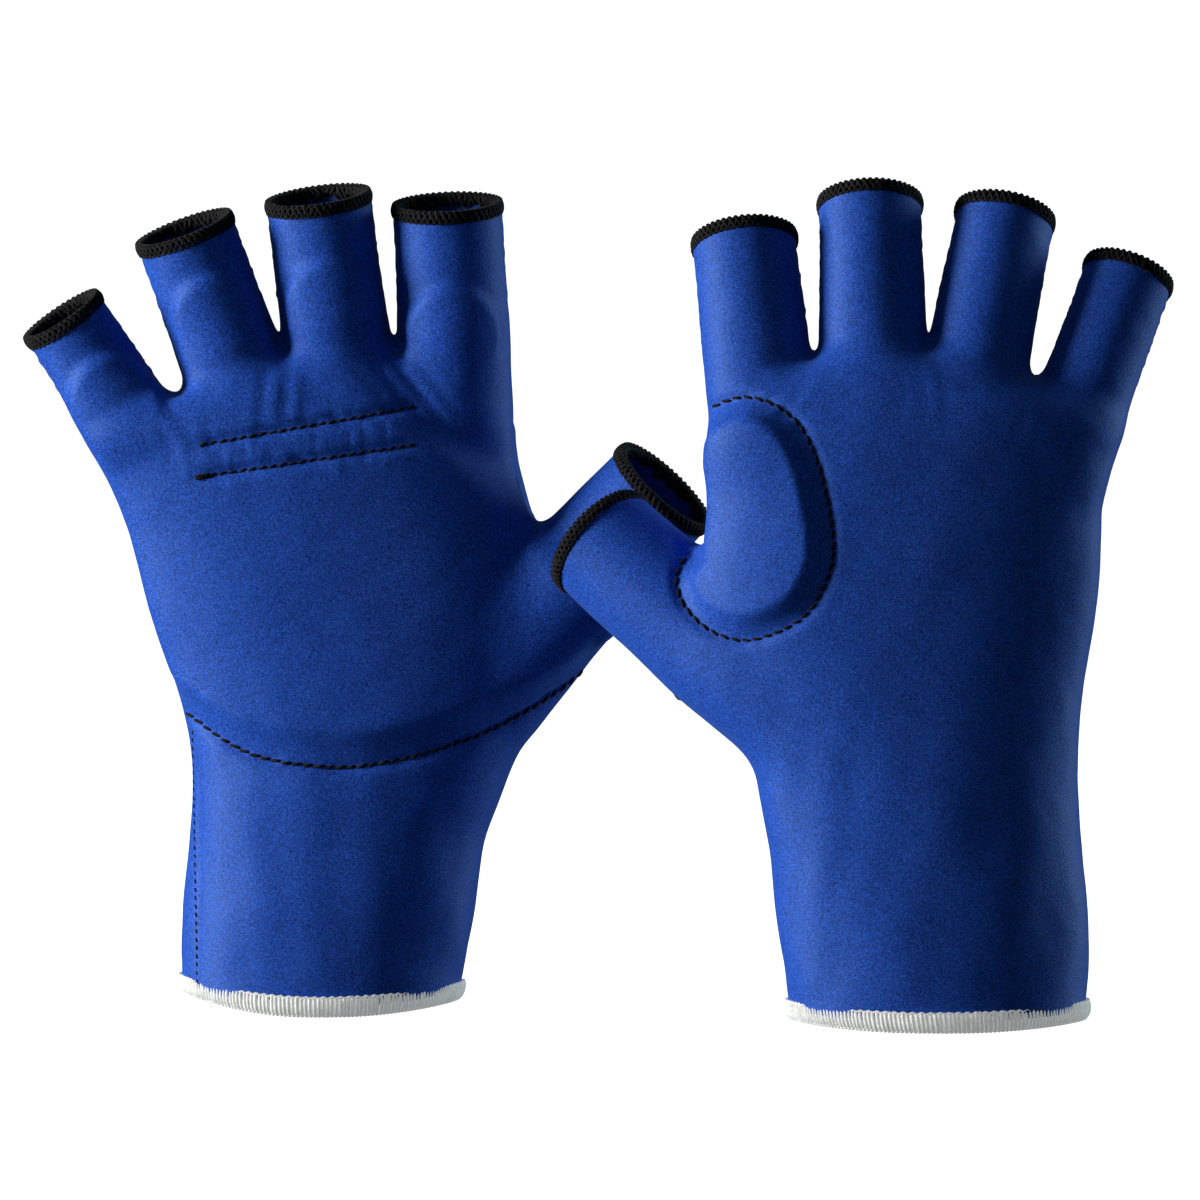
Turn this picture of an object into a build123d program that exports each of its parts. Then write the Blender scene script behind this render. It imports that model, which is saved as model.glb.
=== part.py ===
"""A pair of padded half-finger stretch gloves standing side by side on their cuffs.

Both are right-hand gloves: glove1 shows its palm towards -Y and glove2 shows its back towards -Y.
Each glove is modelled in its own frame and then turned and set in place. In that frame the cuff's
middle is at the origin, +Z runs to the fingertips, the palm faces -Y and the thumb points to +X.
All sizes are in millimetres and all angles in degrees.
"""
import math
import os

from build123d import *

# ---- Layers, from the outside in ----
WALL = 1.2  # knitted outer fabric
LAYER_GAP = 0.15  # air between two layers
PAD = 2.8  # gel pads
LINING = 0.5
PAD_OUTSIDE = WALL + LAYER_GAP
PAD_INSIDE = PAD_OUTSIDE + PAD
LINING_OUTSIDE = PAD_INSIDE + LAYER_GAP
LINING_INSIDE = LINING_OUTSIDE + LINING

# ---- Sewn edges and threads ----
EDGE_REACH = 2.8  # how far the black finger edging comes down over the fabric
EDGE_LIP = 0.7  # how far it stands past the fabric's end
EDGE_PROUD = 0.8  # how far it stands off each face of the fabric
HEM_REACH = 4.4  # the white cuff hem
HEM_LIP = 1.0
HEM_PROUD = 1.3
HEM_LINING = 0.6  # the thread layer inside the elastic
ELASTIC_THICKNESS = 0.7
THREAD_R = 0.3
STITCH_STEP = 4.4
STITCH_SHARE = 0.7  # how much of each step shows thread
STITCH_LIFT = 0.95  # from the fabric to the thread's middle

# ---- Finger stalls ----
FINGER_LENGTH = 46.0  # from the knuckle to the fabric's end
STALL_LENGTH = 26.0  # the part above the webs
PAD_LENGTH = 19.0  # of the finger pad's part that lies past the knuckle panel's hinge
TIP_SLANT = 9.0  # the back edge of each stall is longer than its palm edge
HALF_WIDTHS = {"little": 10.8, "ring": 11.6, "middle": 12.1, "index": 12.6}
DEPTH_SHARE = 0.86  # a stall's depth over its width
ROOT_GROWTH = 0.4  # a stall's root is this much wider than its tip

# ---- Thumb stall ----
THUMB_LENGTH = 57.0
THUMB_TIP = (14.0, 12.2)  # half width, half depth
THUMB_ROOT = (16.6, 14.8)
THUMB_STALL = 21.5  # the part past the crotch

# ---- Hinges in the fabric ----
JOINT_GAP = 0.4
FLEX_RADIUS = 21.0  # round seat of the finger section, about the flex channel's axis
THUMB_RADIUS = 17.0
HINGE_CLEAR = 1.2  # no stitch lies nearer than this to a hinge's cut

# ---- Stitched lines on every glove, in its own frame as (x, z) ----
FLEX_HALF_SPAN = 25.0
FLEX_HALF_CHANNEL = 4.0  # half the distance between the two flex stitch lines
HEEL_ARC = ((-29.0, 68.5), (3.2, 57.7), (57.0, 76.0))
PALM_PAD_OUTLINE = ((-44.0, 78.0), (3.2, 60.5), (42.0, 72.0), (38.0, 124.0), (-52.0, 124.0))
SEAM_CLEAR = 4.0  # the pads stay this far from the side seams' plane
WEB_PAD_MIN_Y = 9.0

WIDE = 300.0  # bigger than the glove, for cutting tools

# Each hand row: z, middle x, half width, half depth, tilt of the section.
# Each digit: fabric end (x, z), splay from upright towards the thumb, lean towards the palm.
GLOVES = {
    "glove1": {
        "turn": 0.0,
        "place": (-64.6, 27.0),
        "hand": (
            (0.0, 0.0, 32.2, 23.0, 0),
            (6.0, 0.0, 32.2, 23.0, 0),
            (20.0, 1.2, 33.0, 22.4, 0),
            (40.0, 3.4, 33.8, 21.2, 0),
            (54.0, 6.2, 36.2, 20.5, 0),
            (66.0, 9.4, 39.8, 20.0, 0),
            (78.0, 10.8, 44.0, 19.3, 0),
            (92.0, 8.2, 46.6, 18.8, 0),
            (110.0, 4.0, 47.5, 18.2, 0),
            (124.0, -1.2, 47.6, 17.4, 4),
            (137.0, -3.5, 46.0, 15.6, 7),
            (150.5, 3.0, 38.0, 11.0, 10),
        ),
        "fingers": {
            "little": ((-59.6, 160.8), -33.0, 2.0),
            "ring": ((-30.2, 180.5), -20.0, 2.0),
            "middle": ((-0.2, 187.9), -7.5, 2.0),
            "index": ((29.2, 186.3), -1.2, 2.0),
        },
        "thumb": ((78.3, 122.0), 43.0, 6.0),
        "thumb_root_y": 0.0,
        "flex_axis": (-3.0, 132.2),
        "flex_tilt": 9.0,
        "side_x": 52.0,
    },
    "glove2": {
        "turn": 180.0,
        "place": (78.2, -27.0),
        "hand": (
            (0.0, 0.4, 33.6, 23.0, 0),
            (6.0, 0.4, 33.6, 23.0, 0),
            (20.0, 1.7, 35.0, 22.4, 0),
            (40.0, 3.6, 36.0, 21.2, 0),
            (54.0, 5.6, 37.2, 20.5, 0),
            (66.0, 8.6, 40.0, 20.0, 0),
            (78.0, 11.3, 43.6, 19.3, 0),
            (92.0, 10.9, 46.1, 18.8, 0),
            (110.0, 9.6, 46.4, 18.2, 0),
            (124.0, 7.8, 46.2, 17.4, 3),
            (137.0, 8.5, 44.8, 15.6, 5),
            (151.5, 12.0, 38.0, 11.0, 7),
        ),
        "fingers": {
            "little": ((-43.2, 173.0), -24.0, 14.0),
            "ring": ((-14.4, 186.8), -11.0, 14.0),
            "middle": ((16.1, 190.2), 1.0, 14.0),
            "index": ((44.4, 181.9), 6.0, 14.0),
        },
        "thumb": ((77.6, 110.0), 49.0, 16.0),
        "thumb_root_y": 4.0,
        "flex_axis": (5.0, 133.0),
        "flex_tilt": 8.0,
        "side_x": 56.0,
    },
}
# The thumb-web pad's stitched outline on glove1's back: middle, half width and half height.
WEB_PAD_OVAL = (34.5, 116.5, 17.5, 27.5)
WEB_PAD_MARGIN = 3.5  # the gel stops this far inside its stitching


def unit(x, y, z):
    length = math.sqrt(x * x + y * y + z * z)
    return Vector(x / length, y / length, z / length)


def slab(low, high):
    """A box between two corners."""
    size = [h - l for l, h in zip(low, high)]
    middle = [(h + l) / 2 for l, h in zip(low, high)]
    return Pos(*middle) * Box(*size)


PALM_HALF = slab((-WIDE, -WIDE, -WIDE), (WIDE, 0, WIDE))


# ---------------------------------------------------------------- hand form
def hand_form(pose, inset=0.0, open_cuff=False):
    """The hand's outer form, taken in by inset; open_cuff runs it out through the cuff's end."""
    ovals = []
    rows = pose["hand"]
    for i, (z, middle, half_width, half_depth, tilt) in enumerate(rows):
        if i == 0 and open_cuff:
            z = -3.0
        if i == len(rows) - 1:
            z -= inset
        t = math.radians(tilt)
        across, up = (math.cos(t), 0, math.sin(t)), (-math.sin(t), 0, math.cos(t))
        plane = Plane((middle, 0, z), x_dir=across, z_dir=up)
        ovals.append(plane * Ellipse(half_width - inset, half_depth - inset))
    return loft(ovals, ruled=True)


def cuff_band(pose, outset, inset, low, high):
    """An upright ring that follows the cuff's first section, from outset outside to inset inside."""
    _, middle, half_width, half_depth, _ = pose["hand"][0]
    outside = Ellipse(half_width + outset, half_depth + outset)
    face = outside - Ellipse(half_width - inset, half_depth - inset)
    return extrude(Pos(middle, 0, low) * face, high - low)


def cuff(pose):
    """The elastic and the overlocked hem, a channel over the fabric's end and the elastic."""
    elastic_outside = WALL + LAYER_GAP
    elastic_inside = elastic_outside + ELASTIC_THICKNESS
    hem_inside = elastic_inside + LAYER_GAP
    elastic = cuff_band(pose, -elastic_outside, elastic_inside, HEM_LIP + LAYER_GAP, HEM_REACH - 0.5)
    hem = cuff_band(pose, HEM_PROUD, hem_inside + HEM_LINING, 0, HEM_LIP)
    hem += cuff_band(pose, HEM_PROUD, 0, HEM_LIP, HEM_REACH)
    hem += cuff_band(pose, -hem_inside, hem_inside + HEM_LINING, HEM_LIP, HEM_REACH - 0.5)
    return elastic, hem


# ---------------------------------------------------------------- digits
class Digit:
    """A finger or thumb stall: a tapered oval tube along a straight axis."""

    def __init__(self, end, splay, lean, length, root, tip, root_y=0.0):
        s, c = math.radians(splay), math.radians(lean)
        self.along = unit(math.sin(s) * math.cos(c), -math.sin(c), math.cos(s) * math.cos(c))
        self.across = unit(math.cos(s), 0, -math.sin(s))
        self.length = length
        self.root, self.tip = root, tip
        self.origin = Vector(end[0], 0, end[1]) - self.along * length
        self.origin = Vector(self.origin.X, root_y, self.origin.Z)

    def point(self, distance):
        return self.origin + self.along * distance

    def half_sizes(self, distance):
        t = distance / self.length
        return [r + (e - r) * t for r, e in zip(self.root, self.tip)]

    def section(self, distance):
        """The section's plane, which slants more and more towards the tip."""
        slant = TIP_SLANT * distance / self.length
        palmward = self.across.cross(self.along)
        t = math.radians(slant)
        normal = self.along * math.cos(t) + palmward * math.sin(t)
        return Plane(self.point(distance), x_dir=self.across, z_dir=normal)

    def form(self, start, end, inset=0.0):
        ovals = []
        for distance in (start, end):
            width, depth = self.half_sizes(distance)
            ovals.append(self.section(distance) * Ellipse(width - inset, depth - inset))
        return loft(ovals)

    def edging(self, stall):
        """The overlocked edge: a channel over the stall's end, outside, inside and on top."""
        low, high = self.length - EDGE_REACH, self.length + EDGE_LIP
        ring = self.form(low, high, -EDGE_PROUD) - self.form(low - 1, high + 1, WALL + EDGE_PROUD)
        return ring - stall


def fingers_of(pose):
    made = {}
    for name, (end, splay, lean) in pose["fingers"].items():
        w = HALF_WIDTHS[name]
        root = (w + ROOT_GROWTH, (w + ROOT_GROWTH) * DEPTH_SHARE)
        made[name] = Digit(end, splay, lean, FINGER_LENGTH, root, (w, w * DEPTH_SHARE))
    return made


def thumb_of(pose):
    end, splay, lean = pose["thumb"]
    return Digit(end, splay, lean, THUMB_LENGTH, THUMB_ROOT, THUMB_TIP, pose["thumb_root_y"])


# ---------------------------------------------------------------- hinge cuts
def flex_frame(pose):
    """(a point on the finger section's hinge axis, the axis, its upward normal)."""
    x, z = pose["flex_axis"]
    t = math.radians(pose["flex_tilt"])
    return Vector(x, 0, z), unit(math.cos(t), 0, math.sin(t)), unit(-math.sin(t), 0, math.cos(t))


def flex_tool(pose, gap=0.0):
    """All that turns with the finger section: what is above the axis, and a round seat below it."""
    point, axis, up = flex_frame(pose)
    plane = Plane(point, x_dir=axis, z_dir=up)
    above = plane * Pos(0, 0, WIDE / 2 - gap) * Box(WIDE, WIDE, WIDE)
    reach = pose["side_x"] - point.X
    barrel = Rot(0, 90, 0) * Cylinder(FLEX_RADIUS + gap, reach + WIDE / 2)
    return above + plane * Pos((reach - WIDE / 2) / 2, 0, 0) * barrel


def thumb_hinge(pose):
    """(a point on the thumb's hinge axis, the axis), square to the stall's axis at its base."""
    thumb = thumb_of(pose)
    return thumb.point(THUMB_LENGTH - THUMB_STALL), thumb.across.cross(thumb.along)


def thumb_tool(pose, gap=0.0):
    """All that turns with the thumb stall, with a round seat at its base."""
    thumb = thumb_of(pose)
    point, axis = thumb_hinge(pose)
    plane = Plane(point, x_dir=thumb.across, z_dir=thumb.along)
    side = THUMB_ROOT[0] + gap
    beyond = plane * Pos(0, 0, THUMB_STALL - gap / 2) * Box(2 * side, WIDE / 4, 2 * THUMB_STALL + gap)
    seat = plane * Rot(90, 0, 0) * Cylinder(THUMB_RADIUS + gap, WIDE / 4)
    return beyond + seat


# ---------------------------------------------------------------- stitched lines
def along_line(points, step):
    """Evenly spaced pairs of parameters on a wire made of the given edges."""
    count = max(2, round(points.length / step))
    half = STITCH_SHARE / 2 / count
    middles = [(i + 0.5) / count for i in range(count)]
    return [(points @ (t - half), points @ (t + half)) for t in middles]


def above_surface(form, x, z, side):
    """A point just off the form at (x, z), on the palm (side -1) or back (side 1); None off the form."""
    ray = Axis((x, side * WIDE / 3, z), (0, -side, 0))
    hits = form.find_intersection_points(ray)
    if not hits:
        return None
    point, normal = max(hits, key=lambda hit: side * hit[0].Y)
    outward = normal if side * normal.Y > 0 else normal * -1
    return point + outward * STITCH_LIFT


def section_at(pose, place):
    """The hinged section at a place: hand, fingers or thumb; None near a hinge or off the fabric."""
    if place is None:
        return None
    point, _, up = flex_frame(pose)
    height = (place - point).dot(up)
    past_flex = max(height, FLEX_RADIUS - math.hypot(height, place.Y))
    thumb = thumb_of(pose)
    rel = place - thumb_hinge(pose)[0]
    along, across = rel.dot(thumb.along), rel.dot(thumb.across)
    past_thumb = max(min(along, THUMB_ROOT[0] - abs(across)), THUMB_RADIUS - math.hypot(along, across))
    if min(abs(past_flex), abs(past_thumb)) < HINGE_CLEAR:
        return None
    if past_flex > 0:
        return "fingers"
    return "thumb" if past_thumb > 0 else "hand"


def stitching(pose, form, line, side, section):
    """A row of separate stitches along a line drawn in X and Z, on one section's open surface."""
    made = []
    for start, end in along_line(line, STITCH_STEP):
        a = above_surface(form, start.X, start.Z, side)
        b = above_surface(form, end.X, end.Z, side)
        if section_at(pose, a) != section or section_at(pose, b) != section:
            continue
        run = b - a
        stitch = Plane(a, z_dir=run) * Pos(0, 0, run.length / 2) * Cylinder(THREAD_R, run.length)
        if form.distance_to(stitch) > LAYER_GAP:
            made.append(stitch)
    return Compound(children=made)


def flex_line(pose, offset):
    point, axis, up = flex_frame(pose)
    middle = point + up * offset
    return Line(middle - axis * FLEX_HALF_SPAN, middle + axis * FLEX_HALF_SPAN)


def shift_of(pose):
    """How far the palm's middle lies from glove1's, so that every glove wears the same outlines."""
    return pose["flex_axis"][0] - GLOVES["glove1"]["flex_axis"][0]


# ---------------------------------------------------------------- one glove
def pads_and_lining(pose, flex_hand, swing_hand):
    """The palm pad, its lining and the thumb-web pad, all on the hand's side of both hinges."""
    dx = shift_of(pose)
    points = [(x + dx, 0, z) for x, z in PALM_PAD_OUTLINE]
    outline = ThreePointArc(*points[:3]) + Polyline(*points[2:], points[0])
    palm_side = slab((-WIDE, -WIDE, 0), (WIDE, -SEAM_CLEAR, WIDE))
    prism = extrude(make_face(outline), WIDE / 3, both=True) & palm_side
    pad = (hand_form(pose, PAD_OUTSIDE) - hand_form(pose, PAD_INSIDE)) & prism
    lining = (hand_form(pose, LINING_OUTSIDE) - hand_form(pose, LINING_INSIDE)) & prism
    middle_x, middle_z, half_width, half_height = WEB_PAD_OVAL
    inside_stitching = Ellipse(half_width - WEB_PAD_MARGIN, half_height - WEB_PAD_MARGIN)
    oval = Plane.XZ * Pos(middle_x + dx, middle_z) * inside_stitching
    back_side = slab((-WIDE, WEB_PAD_MIN_Y, 0), (WIDE, WIDE, WIDE))
    web_prism = extrude(oval, WIDE / 3, both=True) & back_side
    web = (hand_form(pose, PAD_OUTSIDE) - hand_form(pose, PAD_INSIDE)) & web_prism
    return [layer - flex_hand - swing_hand for layer in (pad, lining, web)]


def finger_pads(pose, digits):
    """One pad for each finger, inside the palm half of its stall."""
    start = FINGER_LENGTH - STALL_LENGTH
    made = {}
    for name, digit in digits.items():
        span = (start, start + PAD_LENGTH - WALL)
        layer = digit.form(*span, PAD_OUTSIDE) - digit.form(span[0] - 1, span[1] + 1, PAD_INSIDE)
        plane = Plane(digit.origin, x_dir=digit.across, z_dir=digit.along)
        palm_part = plane * Pos(0, (WIDE + SEAM_CLEAR) / -2, 0) * Box(WIDE, WIDE - SEAM_CLEAR, WIDE)
        if palm_part.center().Y > digit.origin.Y:
            palm_part = plane * Pos(0, (WIDE + SEAM_CLEAR) / 2, 0) * Box(WIDE, WIDE - SEAM_CLEAR, WIDE)
        made[name] = layer & palm_part
    return made


def glove(pose):
    """Every solid of one glove in its own frame, by name."""
    digits, thumb = fingers_of(pose), thumb_of(pose)
    outer, inner = hand_form(pose), hand_form(pose, WALL, open_cuff=True)
    for digit in digits.values():
        outer += digit.form(0, FINGER_LENGTH)
        inner += digit.form(1, FINGER_LENGTH + 1, WALL)
    outer += thumb.form(0, THUMB_LENGTH)
    inner += thumb.form(1, THUMB_LENGTH + 1, WALL)
    shell = outer - inner
    shell = shell & slab((-WIDE, -WIDE, HEM_LIP), (WIDE, WIDE, WIDE))

    flex, flex_hand = flex_tool(pose), flex_tool(pose, JOINT_GAP)
    swing, swing_hand = thumb_tool(pose), thumb_tool(pose, JOINT_GAP)
    thumb_stall = (shell & swing) - flex_hand
    knuckles = (shell & flex) - swing_hand
    hand = shell - flex_hand - swing_hand

    parts = {}
    for name, digit in digits.items():
        zone = digit.form(FINGER_LENGTH - STALL_LENGTH, FINGER_LENGTH + 1, -LAYER_GAP)
        parts[name + "_stall"] = knuckles & zone
        knuckles = knuckles - zone
        parts[name + "_edge_overlock"] = digit.edging(parts[name + "_stall"])
    for name, pad in finger_pads(pose, digits).items():
        parts[name + "_pad"] = pad
    parts["knuckle_palm_panel"] = knuckles & PALM_HALF
    parts["knuckle_back_panel"] = knuckles - PALM_HALF
    parts["thumb_stall"] = thumb_stall
    parts["thumb_edge_overlock"] = thumb.edging(thumb_stall)

    parts["cuff_elastic"], parts["cuff_overlock"] = cuff(pose)
    parts["palm_panel"] = hand & PALM_HALF
    parts["back_panel"] = hand - PALM_HALF
    pad, lining, web = pads_and_lining(pose, flex_hand, swing_hand)
    parts.update(palm_pad=pad, palm_lining=lining, web_pad=web)

    dx = shift_of(pose)
    heel = ThreePointArc(*[(x + dx * 0.5, 0, z) for x, z in HEEL_ARC])
    parts["heel_stitching"] = stitching(pose, outer, heel, -1, "hand")
    for name, offset in (("lower", -FLEX_HALF_CHANNEL), ("upper", FLEX_HALF_CHANNEL)):
        parts[name + "_flex_stitching"] = stitching(pose, outer, flex_line(pose, offset), -1, "fingers")
    middle_x, middle_z, half_width, half_height = WEB_PAD_OVAL
    oval = Plane.XZ * Pos(middle_x + dx, middle_z) * Ellipse(half_width, half_height)
    for name, section in (("web_pad_stitching", "hand"), ("web_pad_top_stitching", "fingers")):
        parts[name] = stitching(pose, outer, oval.wire(), 1, section)
    return parts


def place_of(name):
    pose = GLOVES[name]
    return Pos(pose["place"][0], pose["place"][1], 0) * Rot(0, 0, pose["turn"])


def main():
    os.makedirs("parts", exist_ok=True)
    solids = {}
    for name, pose in GLOVES.items():
        for part_name, shape in glove(pose).items():
            solids[f"{name}_{part_name}"] = place_of(name) * shape
    box = Compound(children=[Compound(s.solids()) for s in solids.values()]).bounding_box()
    centre = Pos(-(box.min.X + box.max.X) / 2, -(box.min.Y + box.max.Y) / 2, -box.min.Z)
    for name, shape in solids.items():
        export_step(centre * Compound(shape.solids()), f"parts/{name}.step")
    print("centred by", centre.position, "size", box.size)
    for name, pose in GLOVES.items():
        point, axis, _ = flex_frame(pose)
        hinge, square = thumb_hinge(pose)
        for label, p, a in (("finger_fold", point, axis), ("thumb_swing", hinge, square)):
            at = centre * place_of(name) * Pos(*p)
            direction = Vector(a).rotate(Axis.Z, pose["turn"])
            print(name, label, [round(v, 4) for v in at.position], [round(v, 6) for v in direction])


if __name__ == "__main__":
    main()
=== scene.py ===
"""Two padded half-finger stretch gloves standing on their cuffs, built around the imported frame.

Each glove is shaped in its own frame, in millimetres: the cuff's middle at the origin, +Z to the
fingertips, palm towards -Y, thumb towards +X. It is then turned and set where its CAD bodies are.
"""
import math

import bpy
import numpy as np
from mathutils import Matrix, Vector
from mathutils.bvhtree import BVHTree


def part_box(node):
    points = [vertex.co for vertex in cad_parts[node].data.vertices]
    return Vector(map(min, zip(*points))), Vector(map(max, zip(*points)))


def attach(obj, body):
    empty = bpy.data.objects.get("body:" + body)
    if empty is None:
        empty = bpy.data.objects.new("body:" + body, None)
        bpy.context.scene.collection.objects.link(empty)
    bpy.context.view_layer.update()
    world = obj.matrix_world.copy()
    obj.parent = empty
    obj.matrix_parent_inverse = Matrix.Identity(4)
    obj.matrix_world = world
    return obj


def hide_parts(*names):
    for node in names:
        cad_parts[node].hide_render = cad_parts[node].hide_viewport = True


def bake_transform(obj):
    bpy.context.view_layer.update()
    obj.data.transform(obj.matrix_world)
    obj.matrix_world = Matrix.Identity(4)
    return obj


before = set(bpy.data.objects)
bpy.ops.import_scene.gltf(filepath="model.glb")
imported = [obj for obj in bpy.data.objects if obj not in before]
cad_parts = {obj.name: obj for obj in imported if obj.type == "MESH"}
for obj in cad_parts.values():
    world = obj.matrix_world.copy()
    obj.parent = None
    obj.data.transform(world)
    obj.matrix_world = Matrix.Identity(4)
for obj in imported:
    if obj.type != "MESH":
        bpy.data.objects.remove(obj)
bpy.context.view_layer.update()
MM = 0.001

# ---------------------------------------------------------------- sizes, in millimetres
CELL = 1.0  # mesh cell
GRID_LOW = (-85.0, -34.0, -6.0)  # the box round one glove that is searched for its surface
GRID_HIGH = (104.0, 30.0, 204.0)
LINING_DEPTH = 0.9  # from the outer face to the inner one
HAND_SQUARENESS = 2.25  # 2 would make each row of the hand an ellipse
FINGER_LENGTH = 46.0
FINGER_FLARE = 0.8  # how much wider a stall is at its root, each side
DEPTH_SHARE = 0.86  # a finger stall's depth over its width
ROOT_ROUND = 14.0  # a stall's root is rounded over this length
THUMB_LENGTH = 57.0
THUMB_STALL = 21.5  # the part of it that stands free
THUMB_CROTCH = THUMB_LENGTH - THUMB_STALL
THUMB_FLARE = 1.9
THUMB_DEPTHS = (12.9, 12.0)  # half depths at the root and at the end
THUMB_HEEL = 60  # the root reaches this far into the hand, times the neck
FLEX_REACH = (15, 18)  # below and above the flex axis
THUMB_REACH = 14
CUFF_TRIM = 1.6  # the fabric's lower edge, inside the hem
CUFF_CURVE = 26.0  # the edge's rise at the sides dies out over this height
CUFF_GIRTH = 178.0
HEM_END = 1.9  # the hem's along is measured down from here
PALM_SIDE, BACK_SIDE = -1, 1
FINGERS = ("little", "ring", "middle", "index")
DIGITS = FINGERS + ("thumb",)

# Hand rows: z, middle x, half width, half depth. Digits: the fabric's end as x and z, splay towards
# the thumb, lean towards the palm, half width. Top: x and z of the hand's upper edge, where the
# third, fifth and seventh points are the crotches between the fingers. The neck narrows the thumb's
# root. The cuff's edge rises at each side, the little finger's first. Angles are in degrees.
GLOVES = {
    "glove1": {
        "turn": 0.0,
        "hand": (
            (0, -0.4, 32.0, 22.5), (14, 1.2, 33.2, 22.3), (28, 2.5, 34.0, 21.8), (41, 3.8, 34.2, 21.0),
            (55, 6.9, 36.5, 20.4), (66, 9.3, 39.9, 20.0), (78, 9.7, 43.9, 19.4), (92, 7.4, 46.5, 18.8),
            (106, 4.6, 46.8, 18.3), (118, 0.8, 46.4, 17.6), (130, -3.2, 47.0, 16.6), (140, -6.8, 51.6, 15.2),
            (150, -11.7, 55.3, 12.4), (162, -14.0, 58.0, 9.0),
        ),
        "fingers": {
            "little": ((-59.9, 161.2), -33.5, 2.0, 10.0),
            "ring": ((-31.6, 181.2), -20.0, 2.0, 11.5),
            "middle": ((-0.6, 188.6), -7.5, 2.0, 12.0),
            "index": ((29.3, 187.0), -2.6, 2.0, 12.5),
        },
        "thumb": ((79.6, 121.9), 43.0, 6.0, 13.6),
        "thumb_root_y": 0.0,
        "thumb_neck": 0.06,
        "top": (
            (-62, 128), (-48, 137), (-33.8, 142.6), (-21, 148.0), (-9, 152.2),
            (4, 153.8), (16.3, 154.2), (30, 150), (44, 138), (56, 124),
        ),
        "flex_axis": (-3.0, 132.2),
        "flex_tilt": 9.0,
        "tip_slant": 9.0,
        "cuff_rise": (5.0, 3.0),
    },
    "glove2": {
        "turn": 180.0,
        "hand": (
            (0, 0.4, 33.6, 22.5), (14, 1.2, 34.9, 22.3), (28, 2.4, 35.8, 21.8), (41, 3.3, 35.7, 21.0),
            (55, 5.0, 36.5, 20.4), (66, 6.4, 37.8, 20.0), (78, 8.5, 41.0, 19.4), (92, 9.8, 45.1, 18.8),
            (106, 9.1, 45.5, 18.3), (118, 7.8, 44.5, 17.6), (130, 8.3, 44.8, 16.6), (140, 5.0, 48.6, 15.2),
            (150, 2.4, 51.6, 12.4), (162, 1.0, 55.0, 9.0),
        ),
        "fingers": {
            "little": ((-43.3, 172.1), -20.5, 14.0, 10.2),
            "ring": ((-15.0, 185.7), -11.0, 14.0, 11.2),
            "middle": ((16.0, 188.5), 1.0, 14.0, 11.7),
            "index": ((44.8, 180.0), 6.0, 14.0, 11.8),
        },
        "thumb": ((78.2, 110.9), 49.0, 16.0, 13.7),
        "thumb_root_y": 1.0,
        "thumb_neck": 0.3,
        "top": (
            (-52, 132), (-36, 142), (-22.3, 147.5), (-10, 152), (3.2, 154.5),
            (15, 155), (28, 153), (42, 147), (54, 136), (64, 120),
        ),
        "flex_axis": (5.0, 133.0),
        "flex_tilt": 8.0,
        "tip_slant": 15.0,
        "cuff_rise": (2.0, 2.0),
    },
}


# ---------------------------------------------------------------- small mathematics
def unit(v):
    v = np.asarray(v, float)
    return v / np.linalg.norm(v)


def blend_min(a, b, k):
    h = np.clip(0.5 + 0.5 * (b - a) / k, 0, 1)
    return b + (a - b) * h - k * h * (1 - h)


def step(t):
    t = np.clip(t, 0, 1)
    return t * t * (3 - 2 * t)


def bump(d, width):
    return np.exp(-((d / width) ** 2))


def smooth_table(points, low, high, blur):
    """A smooth function through points (x, value), as a fine table and its look-up."""
    xs = np.arange(low, high, 0.5)
    points = np.array(points, float)
    values = np.interp(xs, points[:, 0], points[:, 1])
    reach = int(blur * 6)
    kernel = np.exp(-0.5 * (np.arange(-reach, reach + 1) * 0.5 / blur) ** 2)
    padded = np.pad(values, reach, mode="edge")
    smooth = np.convolve(padded, kernel / kernel.sum(), mode="valid")
    return lambda x: np.interp(x, xs, smooth)


def noise(p, size, seed):
    """Smooth noise of about unit size, from a few turned sine waves of the given wavelength."""
    rng = np.random.default_rng(seed)
    total = np.zeros(len(p))
    for _ in range(9):
        direction = unit(rng.normal(size=3))
        wave = 2 * math.pi / (size * rng.uniform(0.7, 1.4))
        total += np.sin(p @ direction * wave + rng.uniform(0, 2 * math.pi))
    return total / 3.0


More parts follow.
